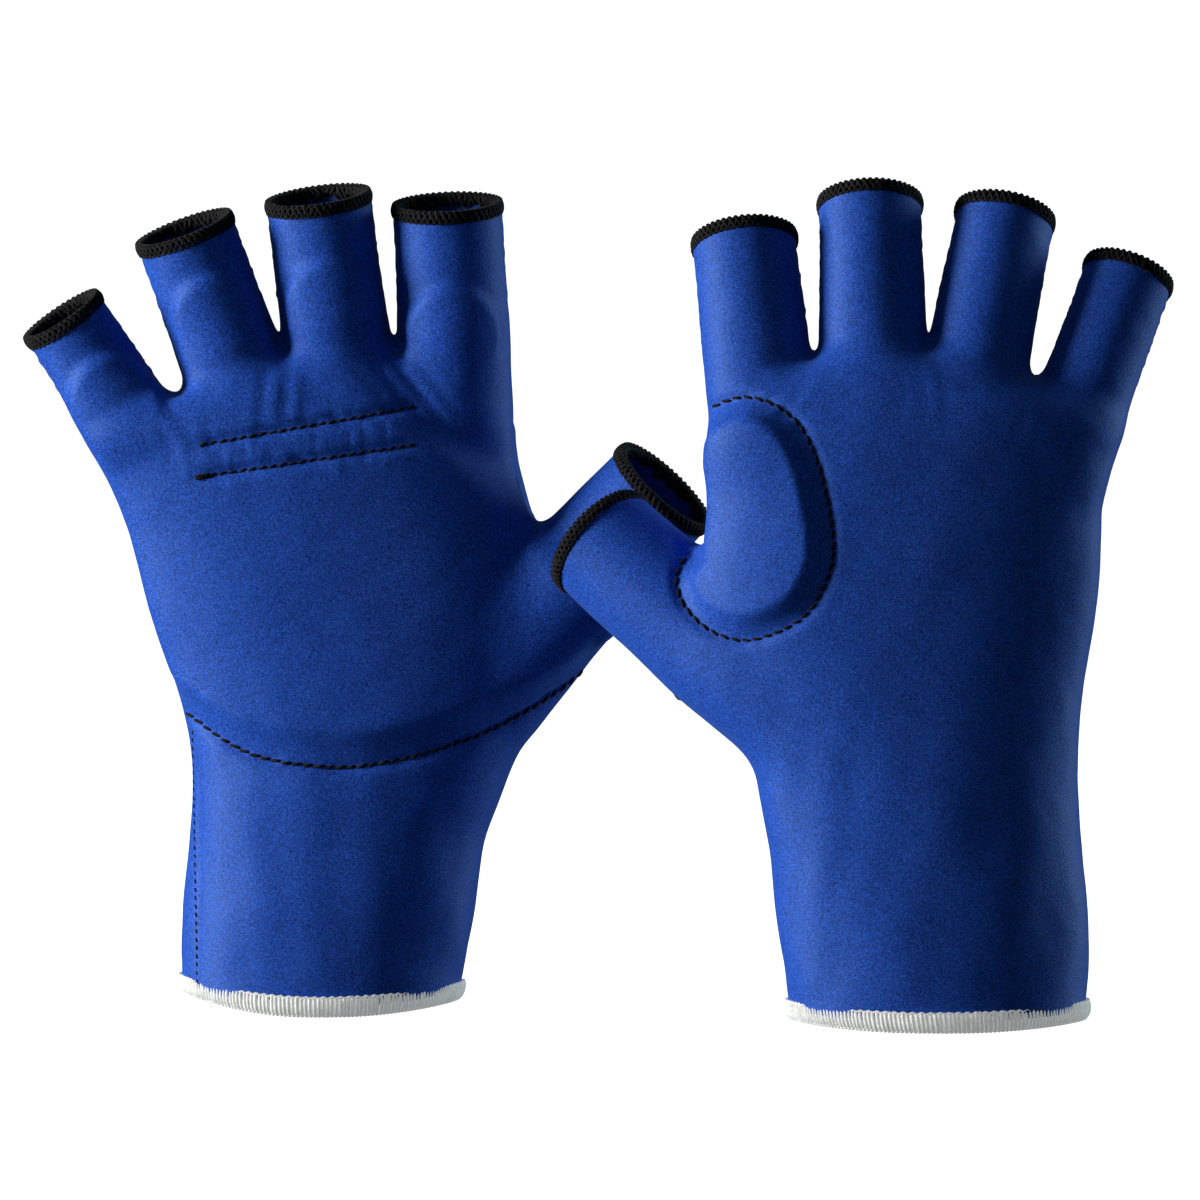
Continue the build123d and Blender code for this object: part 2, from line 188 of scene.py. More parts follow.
# ---------------------------------------------------------------- the glove's form
class Digit:
    """A stall's own frame: along it, across it and palmward."""

    def __init__(self, end, splay, lean, length, root, tip, root_y, slant, neck=0.0, heel=0.0):
        self.slant, self.neck, self.heel = math.radians(slant), neck, heel
        s, c = math.radians(splay), math.radians(lean)
        self.along = unit((math.sin(s) * math.cos(c), -math.sin(c), math.cos(s) * math.cos(c)))
        self.across = unit((math.cos(s), 0, -math.sin(s)))
        self.palmward = unit(np.cross(self.across, self.along))
        self.length, self.root, self.tip = length, root, tip
        origin = np.array((end[0], 0, end[1])) - self.along * length
        self.origin = np.array((origin[0], root_y, origin[2]))

    def local(self, p):
        rel = p - self.origin
        return rel @ self.across, rel @ self.palmward, rel @ self.along

    def half_sizes(self, distance):
        t = np.clip(np.asarray(distance) / self.length, -0.3, 1.1)
        waist = 1 - self.neck * step((20 - np.asarray(distance)) / 40)
        return [(r + (e - r) * t) * waist for r, e in zip(self.root, self.tip)]

    def distance(self, p):
        a, b, along = self.local(p)
        w, d = self.half_sizes(along)
        below = np.minimum(along + self.heel, 0) / ROOT_ROUND
        k = np.sqrt((a / w) ** 2 + (b / d) ** 2 + below**2) + 1e-6
        slope = np.sqrt((a / w**2) ** 2 + (b / d**2) ** 2 + (below / ROOT_ROUND) ** 2) / k + 1e-6
        return (k - 1) / slope

    def past_end(self, p, back):
        """How far a point lies past the stall's slanted end, set back a little."""
        normal = self.along * math.cos(self.slant) + self.palmward * math.sin(self.slant)
        return (p - self.point(self.length - back)) @ normal

    def point(self, distance):
        return self.origin + self.along * distance

    def ring(self, angle, distance, outset):
        """A point of the slanted ring round the stall."""
        w, d = self.half_sizes(distance)
        a, b = math.cos(angle) * (w + outset), math.sin(angle) * (d + outset)
        lift = -b * math.tan(self.slant)
        return self.origin + self.across * a + self.palmward * b + self.along * (distance + lift)


class Glove:
    """One glove's smooth form, as the distance of any point from its surface."""

    def __init__(self, name, pose):
        self.pose = pose
        self.turn = 1.0 if pose["turn"] == 0 else -1.0
        low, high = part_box(name + "_cuff_overlock")
        middle = pose["hand"][0][1] * self.turn * MM
        self.place = np.array(((low.x + high.x) / 2 - middle, (low.y + high.y) / 2, low.z))
        rows = pose["hand"]
        self.middle = smooth_table([(r[0], r[1]) for r in rows], -20, 200, 4.0)
        self.width = smooth_table([(r[0], r[2]) for r in rows], -20, 200, 4.0)
        self.depth = smooth_table([(r[0], r[3]) for r in rows], -20, 200, 4.0)
        self.top = smooth_table(pose["top"], -90, 110, 3.0)
        self.digits = {}
        for finger in FINGERS:
            end, splay, lean, w = pose["fingers"][finger]
            wide = w + FINGER_FLARE
            root, tip = (wide, wide * DEPTH_SHARE), (w, w * DEPTH_SHARE)
            self.digits[finger] = Digit(end, splay, lean, FINGER_LENGTH, root, tip, 0.0, pose["tip_slant"])
        end, splay, lean, w = pose["thumb"]
        root, tip = (w + THUMB_FLARE, THUMB_DEPTHS[0]), (w, THUMB_DEPTHS[1])
        neck = pose["thumb_neck"]
        self.digits["thumb"] = Digit(
            end, splay, lean, THUMB_LENGTH, root, tip, pose["thumb_root_y"], pose["tip_slant"],
            neck, THUMB_HEEL * neck)
        t = math.radians(pose["flex_tilt"])
        self.flex_point = np.array((pose["flex_axis"][0], 0, pose["flex_axis"][1]))
        self.flex_up = np.array((-math.sin(t), 0, math.cos(t)))

    def world(self, p):
        """Metres in the frame, from the glove's own millimetres."""
        p = np.asarray(p, float) * MM
        return p * np.array((self.turn, self.turn, 1.0)) + self.place

    def hand_distance(self, p):
        x, y, z = p[:, 0], p[:, 1], p[:, 2]
        w, d = self.width(z), self.depth(z)
        dx = x - self.middle(z)
        n = HAND_SQUARENESS
        ax, ay = np.abs(dx / w) + 1e-6, np.abs(y / d) + 1e-6
        k = (ax**n + ay**n) ** (1 / n)
        gx, gy = ax ** (n - 1) / w, ay ** (n - 1) / d
        wall = (k - 1) / (np.sqrt(gx**2 + gy**2) * k ** (1 - n) + 1e-6)
        over = z - self.top(x)
        return -blend_min(-wall, -over, 9.0)

    def distance(self, p):
        hand = self.hand_distance(p)
        fingers = None
        for name in FINGERS:
            d = self.digits[name].distance(p)
            fingers = d if fingers is None else blend_min(fingers, d, 2.0)
        body = blend_min(hand, fingers, 5.0)
        thumb = self.digits["thumb"]
        across, _, along = thumb.local(p)
        ease = (6.5 + 4.5 * step((across + 4) / 14)) * (0.5 + 0.5 * step((along + 14) / 28))
        return blend_min(body, thumb.distance(p), ease)


def grid_values(glove, cell):
    low, high = np.array(GRID_LOW), np.array(GRID_HIGH)
    counts = np.ceil((high - low) / cell).astype(int) + 1
    axes = [low[i] + np.arange(counts[i]) * cell for i in range(3)]
    values = np.empty(counts, np.float32)
    for i, x in enumerate(axes[0]):
        yy, zz = np.meshgrid(axes[1], axes[2], indexing="ij")
        p = np.stack([np.full(yy.size, x), yy.ravel(), zz.ravel()], 1)
        values[i] = glove.distance(p).reshape(yy.shape)
    return values, low


def surface_net(values, low, cell):
    """Quads around the zero level: one vertex in each cell that the surface crosses."""
    inside = values < 0
    count = np.zeros(tuple(n - 1 for n in inside.shape), np.int8)
    nx, ny, nz = count.shape
    for i in (0, 1):
        for j in (0, 1):
            for k in (0, 1):
                count += inside[i:nx + i, j:ny + j, k:nz + k]
    active = (count > 0) & (count < 8)
    index = np.full(active.shape, -1)
    index[active] = np.arange(active.sum())
    points = low + (np.argwhere(active) + 0.5) * cell
    quads = []
    for axis in range(3):
        u, v = (axis + 1) % 3, (axis + 2) % 3
        first = np.take(inside, range(inside.shape[axis] - 1), axis)
        second = np.take(inside, range(1, inside.shape[axis]), axis)
        edges = np.argwhere(first != second)
        keep = (edges[:, u] > 0) & (edges[:, v] > 0)
        keep &= (edges[:, u] < active.shape[u]) & (edges[:, v] < active.shape[v])
        edges = edges[keep]
        corners = []
        for du, dv in ((0, 0), (1, 0), (1, 1), (0, 1)):
            e = edges.copy()
            e[:, u] -= du
            e[:, v] -= dv
            corners.append(index[e[:, 0], e[:, 1], e[:, 2]])
        quad = np.stack(corners, 1)
        outward = first[edges[:, 0], edges[:, 1], edges[:, 2]]
        quads.append(np.where(outward[:, None], quad, quad[:, ::-1]))
    return points, np.concatenate(quads)


def gradient(field, p, h=0.05):
    g = np.empty_like(p)
    for i in range(3):
        d = np.zeros(3)
        d[i] = h
        g[:, i] = (field(p + d) - field(p - d)) / (2 * h)
    return g


def settle(field, points, quads, rounds):
    """Evens the mesh out and puts every vertex on the surface."""
    for _ in range(rounds):
        total = np.zeros_like(points)
        times = np.zeros(len(points))
        for i in range(4):
            for j in (1, 3):
                np.add.at(total, quads[:, i], points[quads[:, (i + j) % 4]])
                np.add.at(times, quads[:, i], 1)
        points = points * 0.4 + total / times[:, None] * 0.6
        for _ in range(2):
            g = gradient(field, points)
            points = points - field(points)[:, None] * g / (g**2).sum(1)[:, None]
    return points


# ---------------------------------------------------------------- seams and pads, on the palm and back
HEEL = (
    (-33, 71.5), (-30.1, 69), (-15.9, 60.5), (3.2, 57.7), (18.6, 59.5),
    (34.3, 64), (44.6, 68.5), (55.4, 75), (62, 80.5),
)
FLEX_LINES = (((-28.1, 124.5), (22.2, 132.0)), ((-28.1, 131.8), (22.2, 140.6)))
WEB_PAD = (
    (55.8, 138.3), (53.6, 140.6), (49.7, 143.2), (43.9, 144.4), (37.6, 142.4), (32.3, 137.9),
    (28.6, 130.8), (26.3, 122.4), (24.8, 113.4), (25.2, 106), (28.6, 98.1), (32.9, 93.6),
    (39.2, 90.4), (45, 89.1), (49.7, 89.9), (54, 92), (57.7, 95.5), (59.8, 99.1),
    (60.3, 102.8), (59, 106.5), (57.4, 108.4),
)
WEB_PAD_SIDE = ((66, 112), (66, 138))  # closes the outline round the hand's edge
WEB_PAD_SHIFT = 8.0  # the pad lies this much nearer the little finger than it is drawn
WEB_PAD_FAR_X = 63  # it thins out towards here, at the hand's edge
SIDE_SEAM_X = -28.3
PALM_PAD_TOP = 124
FINGER_PADS = {"little": 35.0, "ring": 34.0, "middle": 31.0, "index": 26.0}  # where each one ends

# How far each part of the relief stands out of the smooth form, or lies in it, at most
PALM_PAD_RISE = 2.9
WEB_PAD_RISE = 2.7
FINGER_PAD_RISE = 1.6
HEEL_GROOVE = 0.95
FLEX_GROOVE = 1.05
WEB_PAD_GROOVE = 0.8
FINGER_SEAM_GROOVE = 0.38
SIDE_SEAM_GROOVE = 0.4
TENSION_FOLDS = (0.10, 0.20, 0.24)  # below each crotch
WRIST_FOLDS = 0.22


def curve_through(points, spacing=0.5):
    """Evenly spaced points on a smooth curve through the given ones."""
    p = np.array(points, float)
    p = np.vstack([2 * p[0] - p[1], p, 2 * p[-1] - p[-2]])
    out = []
    for i in range(1, len(p) - 2):
        for t in np.linspace(0, 1, 24, endpoint=False):
            a, b, c, d = p[i - 1:i + 3]
            place = 2 * b + (c - a) * t + (2 * a - 5 * b + 4 * c - d) * t**2
            place = place + (3 * b - a - 3 * c + d) * t**3
            out.append(0.5 * place)
    out = np.array(out + [p[-2]])
    run = np.concatenate([[0], np.cumsum(np.linalg.norm(np.diff(out, axis=0), axis=1))])
    at = np.linspace(0, run[-1], max(2, int(run[-1] / spacing)))
    return np.stack([np.interp(at, run, out[:, i]) for i in range(out.shape[1])], 1), run[-1]


def line_distance(x, z, line):
    """Distance in X and Z from a curve, and how far along it the nearest point is."""
    best = np.full(len(x), 1e9)
    where = np.zeros(len(x))
    for i, (cx, cz) in enumerate(line):
        d = (x - cx) ** 2 + (z - cz) ** 2
        nearer = d < best
        best[nearer] = d[nearer]
        where[nearer] = i
    return np.sqrt(best), where / (len(line) - 1)


def inside_polygon(x, z, polygon):
    inside = np.zeros(len(x), bool)
    p = np.array(polygon)
    for (x1, z1), (x2, z2) in zip(p, np.roll(p, -1, axis=0)):
        if z1 == z2:
            continue
        crosses = (z1 > z) != (z2 > z)
        inside ^= crosses & (x < (x2 - x1) * (z - z1) / (z2 - z1) + x1)
    return inside


class Pattern:
    """Where one glove's seams and pads run, in its own X and Z."""

    def __init__(self, glove):
        shift = glove.pose["flex_axis"][0] + 3.0  # the lines are drawn on glove1, whose axis is at -3
        self.glove = glove
        self.heel, _ = curve_through([(x + shift * 0.5, z) for x, z in HEEL])
        self.flex = [curve_through([(x + shift, z) for x, z in line])[0] for line in FLEX_LINES]
        pad = [(x + shift - WEB_PAD_SHIFT, z) for x, z in WEB_PAD]
        self.web_pad, _ = curve_through(pad)
        self.web_outline = pad + [(x + shift - WEB_PAD_SHIFT, z) for x, z in WEB_PAD_SIDE]
        self.web_far_x = WEB_PAD_FAR_X + shift - WEB_PAD_SHIFT
        self.seam_x = SIDE_SEAM_X + shift * 0.5

    def webs(self):
        """The crotches between the fingers."""
        top = self.glove.pose["top"]
        return [top[2], top[4], top[6]]

    def regions(self, p, n):
        """Fields over the surface that both the relief and the split into pieces use."""
        x, z = p[:, 0], p[:, 2]
        palm = step((-n[:, 1] - 0.22) / 0.45)
        back = step((n[:, 1] - 0.05) / 0.35)
        heel_z = np.interp(x, self.heel[:, 0], self.heel[:, 1])
        above_heel = (z - heel_z) * 0.93
        web_d, _ = line_distance(x, z, self.web_pad)
        web_in = inside_polygon(x, z, self.web_outline)
        return palm, back, above_heel, web_d, web_in

    def relief(self, p, n):
        """How far the fabric stands out from the smooth form."""
        g = self.glove
        x, z = p[:, 0], p[:, 2]
        palm, back, above_heel, web_d, web_in = self.regions(p, n)
        out = np.zeros(len(p))
        # palm pad and the heel seam
        hand = step((156 - z) / 24)
        thumb_along = g.digits["thumb"].local(p)[2]
        on_hand = step((THUMB_CROTCH - thumb_along) / 10)
        out += PALM_PAD_RISE * palm * step((above_heel - 1.4) / 7.0) * hand * on_hand
        heel_d, _ = line_distance(x, z, self.heel)
        pull = 1 + 0.25 * noise(p, 4.0, 21)
        out -= HEEL_GROOVE * palm * bump(heel_d, 1.15) * pull
        # flex lines, their puckers and the soft channel between them
        for line in self.flex:
            d, t = line_distance(x, z, line)
            ends = step(t * 14) * step((1 - t) * 14)
            out -= palm * bump(d, 1.2) * FLEX_GROOVE * (0.35 + 0.65 * ends) * pull
            puckers = noise(p * np.array((1, 1, 0.45)), 3.4, 31)
            out += palm * 0.09 * puckers * bump(d - 2.2, 2.4) * ends
        # finger pads
        for name, end in FINGER_PADS.items():
            digit = g.digits[name]
            a, b, along = digit.local(p)
            w, _ = digit.half_sizes(along)
            corner = np.sqrt(np.maximum(along - (end - 9), 0) ** 2 + a**2) - 0.92 * w
            sides = step((0.4 - corner) / 3.4)
            front = step((b - 0.1 * w) / (0.5 * w))
            within = step((1.6 * w - np.abs(a)) / 4)
            out += FINGER_PAD_RISE * sides * front * step((along - 6) / 12) * within * palm
        # thumb-web pad on the back
        rise = np.where(web_in, web_d, 0)
        facing = step((n[:, 1] - 0.12) / 0.5)
        out += WEB_PAD_RISE * step((rise - 1.5) / 4.8) * facing * step((self.web_far_x - x) / 8)
        out -= WEB_PAD_GROOVE * back * bump(web_d, 1.1) * pull
        # the fabric is drawn down from the webs in short tension folds
        for i, (wx, wz) in enumerate(self.webs()):
            rx, drop = x - wx, wz - 3 - z
            lean = (0.3, -0.1, 0.8)[i]
            fold = np.cos((rx - lean * drop) * 2 * math.pi / 5.2 + i) * bump(rx - lean * drop, 6.5)
            drawn = TENSION_FOLDS[i] * fold * step((drop + 1) / 5) * step((19 - drop) / 13)
            out += drawn * (palm + 0.3 * back)
        # seams: along the fingers' sides and from the cuff up the little-finger side
        for name in FINGERS:
            digit = g.digits[name]
            a, b, along = digit.local(p)
            w, _ = digit.half_sizes(along)
            side = np.abs(a) / w
            near = step((side - 0.72) / 0.15) * step((1.25 - side) / 0.15) * step((along - 20) / 6)
            out -= FINGER_SEAM_GROOVE * near * bump(b, 0.75)
            out += 0.12 * near * bump(np.abs(b) - 1.1, 0.7) * (1 + noise(p, 2.6, 41))
        out -= SIDE_SEAM_GROOVE * bump(x - self.seam_x, 0.55) * step((64 - z) / 8) * step(-n[:, 1] / 0.2)
        # slack fabric: long soft folds at the wrist, faint everywhere else
        wrist = step((74 - z) / 20)
        slanted = p * np.array((1.0, 1.0, 0.35)) + np.array((0.3, 0, 0.3)) * z[:, None] * 0.3
        folds = noise(slanted, 15.0, 5)
        out += WRIST_FOLDS * wrist * folds + 0.12 * noise(p, 24.0, 11) + 0.04 * noise(p, 7.0, 3)
        return out * step((z - 4) / 7)


# ---------------------------------------------------------------- mesh building
def add_object(name, points, faces, normals=None, rest=None):
    """A mesh object from points in metres, with its own shading normals and rest positions."""
    mesh = bpy.data.meshes.new(name)
    mesh.from_pydata([tuple(p) for p in points], [], [tuple(int(i) for i in f) for f in faces])
    mesh.polygons.foreach_set("use_smooth", [True] * len(mesh.polygons))
    attribute = mesh.attributes.new("rest", "FLOAT_VECTOR", "POINT")
    kept = np.asarray(points if rest is None else rest, np.float32)
    attribute.data.foreach_set("vector", kept.ravel())
    if normals is not None:
        mesh.normals_split_custom_set_from_vertices([tuple(n) for n in normals])
    mesh.validate()
    obj = bpy.data.objects.new(name, mesh)
    bpy.context.scene.collection.objects.link(obj)
    return obj


def vertex_normals(points, quads):
    face = np.cross(points[quads[:, 2]] - points[quads[:, 0]], points[quads[:, 3]] - points[quads[:, 1]])
    total = np.zeros_like(points)
    for i in range(4):
        np.add.at(total, quads[:, i], face)
    return total / (np.linalg.norm(total, axis=1)[:, None] + 1e-12)


def compact(points, quads, *others):
    """Only the vertices that the quads use."""
    used = np.unique(quads)
    renumber = np.full(len(points), -1)
    renumber[used] = np.arange(len(used))
    return (points[used], renumber[quads], *[o[used] for o in others])


def tubes(paths, outward, radii, sides=6):
    """Round threads along many paths of equal length, as one mesh with closed ends."""
    paths, outward = np.asarray(paths, float), np.asarray(outward, float)
    count, samples, _ = paths.shape
    radii = np.broadcast_to(radii, (count, samples))
    along = np.gradient(paths, axis=1)
    along /= np.linalg.norm(along, axis=2)[..., None] + 1e-12
    up = outward - (outward * along).sum(2)[..., None] * along
    up /= np.linalg.norm(up, axis=2)[..., None] + 1e-12
    side = np.cross(along, up)
    turn = np.arange(sides) * 2 * math.pi / sides
    ring = np.cos(turn)[:, None] * up[:, :, None, :] + np.sin(turn)[:, None] * side[:, :, None, :]
    points = (paths[:, :, None, :] + ring * radii[:, :, None, None]).reshape(-1, 3)
    start = np.arange(count)[:, None, None] * samples * sides
    i = np.arange(samples - 1)[None, :, None] * sides
    j = np.arange(sides)[None, None, :]
    k = (j + 1) % sides
    here, there = start + i, start + i + sides
    quads = np.stack([here + j, here + k, there + k, there + j], -1).reshape(-1, 4)
    faces = [tuple(q) for q in quads[:, ::-1]]
    for c in range(count):
        first = c * samples * sides
        last = first + (samples - 1) * sides
        faces.append(tuple(range(first, first + sides)))
        faces.append(tuple(range(last + sides - 1, last - 1, -1)))
    return points, faces


WRAP_SAMPLES = 17  # points along one wrap
OUTER_SAMPLES = 12  # how many of them come before it is well inside


def wrap_profile(outside, over, inside, proud):
    """The way of one wrap over a fabric's end, as (along, outset), and its outward directions."""
    corners = np.array((
        (-outside, proud - 0.3), (-outside * 0.85, proud), (-outside * 0.4, proud + 0.1),
        (0.0, proud), (over * 0.8, proud - 0.35), (over, -0.45), (over * 0.75, -0.95),
        (0.0, -1.32), (-inside * 0.5, -1.42), (-inside * 0.9, -1.3), (-inside, -1.0),
    ))
    t = np.linspace(0, 1, len(corners))
    at = np.linspace(0, 1, WRAP_SAMPLES)
    path = np.stack([np.interp(at, t, corners[:, i]) for i in range(2)], 1)
    out = np.gradient(path, axis=0)
    out = np.stack([out[:, 1], -out[:, 0]], 1) / np.linalg.norm(out, axis=1)[:, None]
    return path, (out if out[4, 1] > 0 else -out)


def overlock(ring, size, pitch, slant, reach, proud, radius, teeth, seed, full_core):
    """An overlocked edge: a core folded over the fabric's end with thread wrapped round it.

    ring(angle, along, outset) is a point of the edge; along is measured from the fabric's end.
    reach is how far the wraps go down the outside, over the end and down the inside. teeth is how
    deep the looper thread's teeth are and how many wraps each one spans. When slant is negative,
    each wrap has a second one that leans the other way, as in a braided finger edge.
    """
    outside, over, inside = reach
    path, out = wrap_profile(outside, over, inside, proud)
    last = len(path) - 1
    count = int(round(size / pitch))
    step_angle = 2 * math.pi / count
    chance = np.random.default_rng(seed)
    paths, ways, radii = [], [], []
    swell = 0.72 + 0.4 * np.sin(np.linspace(0, math.pi, len(path))) ** 0.5
    inner_end = step((np.linspace(0, 1, len(path)) - 0.55) / 0.3)
    for i in range(count):
        for side in ((1, -1) if slant < 0 else (1,)):
            angle = (i + chance.uniform(-0.1, 0.1)) * step_angle
            stretch = chance.uniform(0.9, 1.08)
            inner = chance.uniform(0.4, 1.3) if slant < 0 else 1.0
            sink = 0.0 if side > 0 else 0.06
            line, way = [], []
            for k, (along, outset) in enumerate(path):
                share = k / last
                along = along * (stretch if along < 0 and share < 0.5 else inner if along < 0 else 1)
                turn = angle + side * abs(slant) * step_angle * (0.5 - abs(2 * share - 1))
                line.append(ring(turn, along, outset - sink))
                way.append(ring(turn, along + out[k, 0], outset - sink + out[k, 1]) - line[-1])
            paths.append(line)
            ways.append(way)
            loose = 1 + (chance.uniform(-0.1, 0.7) if slant < 0 else 0) * inner_end
            radii.append(radius * chance.uniform(0.88, 1.12) * swell * loose)
    points, faces = tubes(paths, ways, np.array(radii))

    def add(more, more_faces):
        nonlocal points, faces
        faces = faces + [tuple(i + len(points) for i in f) for f in more_faces]
        points = np.vstack([points, more])

    # the core just under the wraps; on a finger's inside the fabric shows between them
    end = len(path) if full_core else OUTER_SAMPLES
    sunk = path[:end] - 0.5 * out[:end] * radius
    angles = np.linspace(0, 2 * math.pi, count * 2, endpoint=False)
    core = np.array([[ring(a, *at) for at in sunk] for a in angles])
    n, m = core.shape[:2]
    add(core.reshape(-1, 3), [(i * m + j, ((i + 1) % n) * m + j, ((i + 1) % n) * m + j + 1, i * m + j + 1)
                              for i in range(n) for j in range(m - 1)])
    # looper threads: toothed along the outside, knotted over the end, plain along the inside
    around = np.linspace(0, 2 * math.pi, count * 6 + 1)
    saw = np.abs((around / step_angle / teeth[1]) % 1 - 0.5) * 2
    ripple = np.sin(around / step_angle * 2 * math.pi)
    for along, outset, width, outward in (
        (path[0, 0] + 0.25 - teeth[0] * saw, path[1, 1] + 0.1, 0.62, (0, 1)),
        (over + 0.12 + 0.16 * ripple, -0.1 + 0.3 * ripple, 0.8, (1, 0)),
        (path[last, 0] * (0.7 if slant < 0 else 1) + 0.3 * ripple, path[last, 1] - 0.1, 0.62, (0, -1)),
    ):
        outset = np.broadcast_to(outset, around.shape)
        line = [ring(a, u, v) for a, u, v in zip(around, along, outset)]
        raised = [ring(a, u + outward[0], v + outward[1]) for a, u, v in zip(around, along, outset)]
        way = [high - low for high, low in zip(raised, line)]
        add(*tubes([line], [way], radius * width))
    return points, faces


# ---------------------------------------------------------------- materials
def material(name, roughness, **fixed):
    """A material, its tree and shader, and the rest position, which stays put in every pose."""
    mat = bpy.data.materials.new(name)
    mat.use_nodes = True
    tree = mat.node_tree
    shader = tree.nodes["Principled BSDF"]
    shader.inputs["Roughness"].default_value = roughness
    for key, value in fixed.items():
        shader.inputs[key.replace("_", " ")].default_value = value
    place = tree.nodes.new("ShaderNodeAttribute")
    place.attribute_name = "rest"
    return mat, tree, shader, place.outputs["Vector"]


def noise_node(tree, vector, scale, detail=2.0, squeeze=None):
    if squeeze:
        mapping = tree.nodes.new("ShaderNodeMapping")
        mapping.inputs["Scale"].default_value = squeeze
        tree.links.new(vector, mapping.inputs["Vector"])
        vector = mapping.outputs["Vector"]
    made = tree.nodes.new("ShaderNodeTexNoise")
    made.inputs["Scale"].default_value = scale
    made.inputs["Detail"].default_value = detail
    tree.links.new(vector, made.inputs["Vector"])
    return made.outputs["Fac"]


def ramp(tree, value, stops):
    made = tree.nodes.new("ShaderNodeValToRGB")
    tree.links.new(value, made.inputs["Fac"])
    elements = made.color_ramp.elements
    while len(elements) < len(stops):
        elements.new(0.5)
    for element, (at, colour) in zip(elements, stops):
        element.position = at
        element.color = (*colour, 1)
    return made.outputs["Color"]


def maths(tree, operation, a, b):
    made = tree.nodes.new("ShaderNodeMath")
    made.operation = operation
    for i, value in enumerate((a, b)):
        if isinstance(value, (int, float)):
            made.inputs[i].default_value = value
        else:
            tree.links.new(value, made.inputs[i])
    return made.outputs[0]


def add_bump(tree, shader, height, strength, distance):
    made = tree.nodes.new("ShaderNodeBump")
    made.inputs["Strength"].default_value = strength
    made.inputs["Distance"].default_value = distance
    tree.links.new(height, made.inputs["Height"])
    tree.links.new(made.outputs["Normal"], shader.inputs["Normal"])


def knit(name, dark, light, sheen):
    """Fine knit: a fine grain over faint upright wales and level courses, in colour and bump."""
    mat, tree, shader, place = material(
        name, 0.55, Sheen_Weight=sheen, Sheen_Roughness=0.5, Specular_IOR_Level=0.3)
    shader.inputs["Sheen Tint"].default_value = (0.4, 0.65, 1.0, 1)
    shader.inputs["Specular Tint"].default_value = (0.55, 0.85, 1.0, 1)
    grain = noise_node(tree, place, 4600, 0.0)
    wales = noise_node(tree, place, 3000, 0.0, (1.0, 1.0, 0.45))
    courses = noise_node(tree, place, 3000, 0.0, (0.45, 0.45, 1.0))
    height = maths(tree, "ADD", maths(tree, "MULTIPLY", wales, 0.2), maths(tree, "MULTIPLY", courses, 0.2))
    height = maths(tree, "ADD", height, maths(tree, "MULTIPLY", grain, 0.6))
    middle = [(d + l) * 0.45 for d, l in zip(dark, light)]
    colour = ramp(tree, height, ((0.36, dark), (0.5, middle), (0.68, light)))
    tree.links.new(colour, shader.inputs["Base Color"])
    add_bump(tree, shader, height, 0.45, 0.0003)
    return mat


def thread(name, dark, light, roughness, sheen, own=0.0):
    """Spun thread; own is a painted glow: an emission that keeps a white thread bright in the shade, though
    it is no lamp.
    """
    mat, tree, shader, place = material(name, roughness, Sheen_Weight=sheen, Specular_IOR_Level=0.15)
    # painted light: the thread glows by the strength own
    shader.inputs["Emission Color"].default_value = (1, 1, 0.97, 1)
    shader.inputs["Emission Strength"].default_value = own
    fibres = noise_node(tree, place, 2600, 3.0, (1.0, 1.0, 0.5))
    patches = noise_node(tree, place, 420, 2.0)
    both = maths(tree, "ADD", maths(tree, "MULTIPLY", fibres, 0.6), maths(tree, "MULTIPLY", patches, 0.4))
    tree.links.new(ramp(tree, both, ((0.36, dark), (0.68, light))), shader.inputs["Base Color"])
    add_bump(tree, shader, fibres, 0.5, 0.0002)
    return mat


BLUE = knit("blue_knit", (0.001, 0.022, 0.18), (0.028, 0.135, 0.78), 0.12)
# the inner face is a darker copy of the outer knit: painted shade for the inside of the glove
SHADED_LINING = knit("blue_lining_painted_shade", (0.001, 0.016, 0.12), (0.014, 0.070, 0.42), 0.06)
BLACK = thread("black_thread", (0.001, 0.001, 0.002), (0.016, 0.012, 0.012), 0.75, 0.05)
# the white thread glows at 0.22: painted light that brightens its shaded side
WHITE_PAINTED_GLOW = thread("white_thread", (0.50, 0.50, 0.48), (0.80, 0.80, 0.78), 0.8, 0.1, own=0.22)


# ---------------------------------------------------------------- one glove
FINGER_EDGE = {
    "pitch": 1.35, "slant": -1.7, "reach": (2.1, 0.25, 2.3), "proud": 0.2, "radius": 0.38,
    "teeth": (0.3, 1), "full_core": False,
}
CUFF_EDGE = {
    "pitch": 0.86, "slant": 0.6, "reach": (2.7, 1.4, 2.6), "proud": 0.65, "radius": 0.47,
    "teeth": (0.4, 2), "full_core": True,
}
CUFF_SEED = 9
STITCH_SAMPLES = 7
STITCH_SLANT = 1.4  # how far a stitch leans across its line, in thread radii
RAY_START = 60


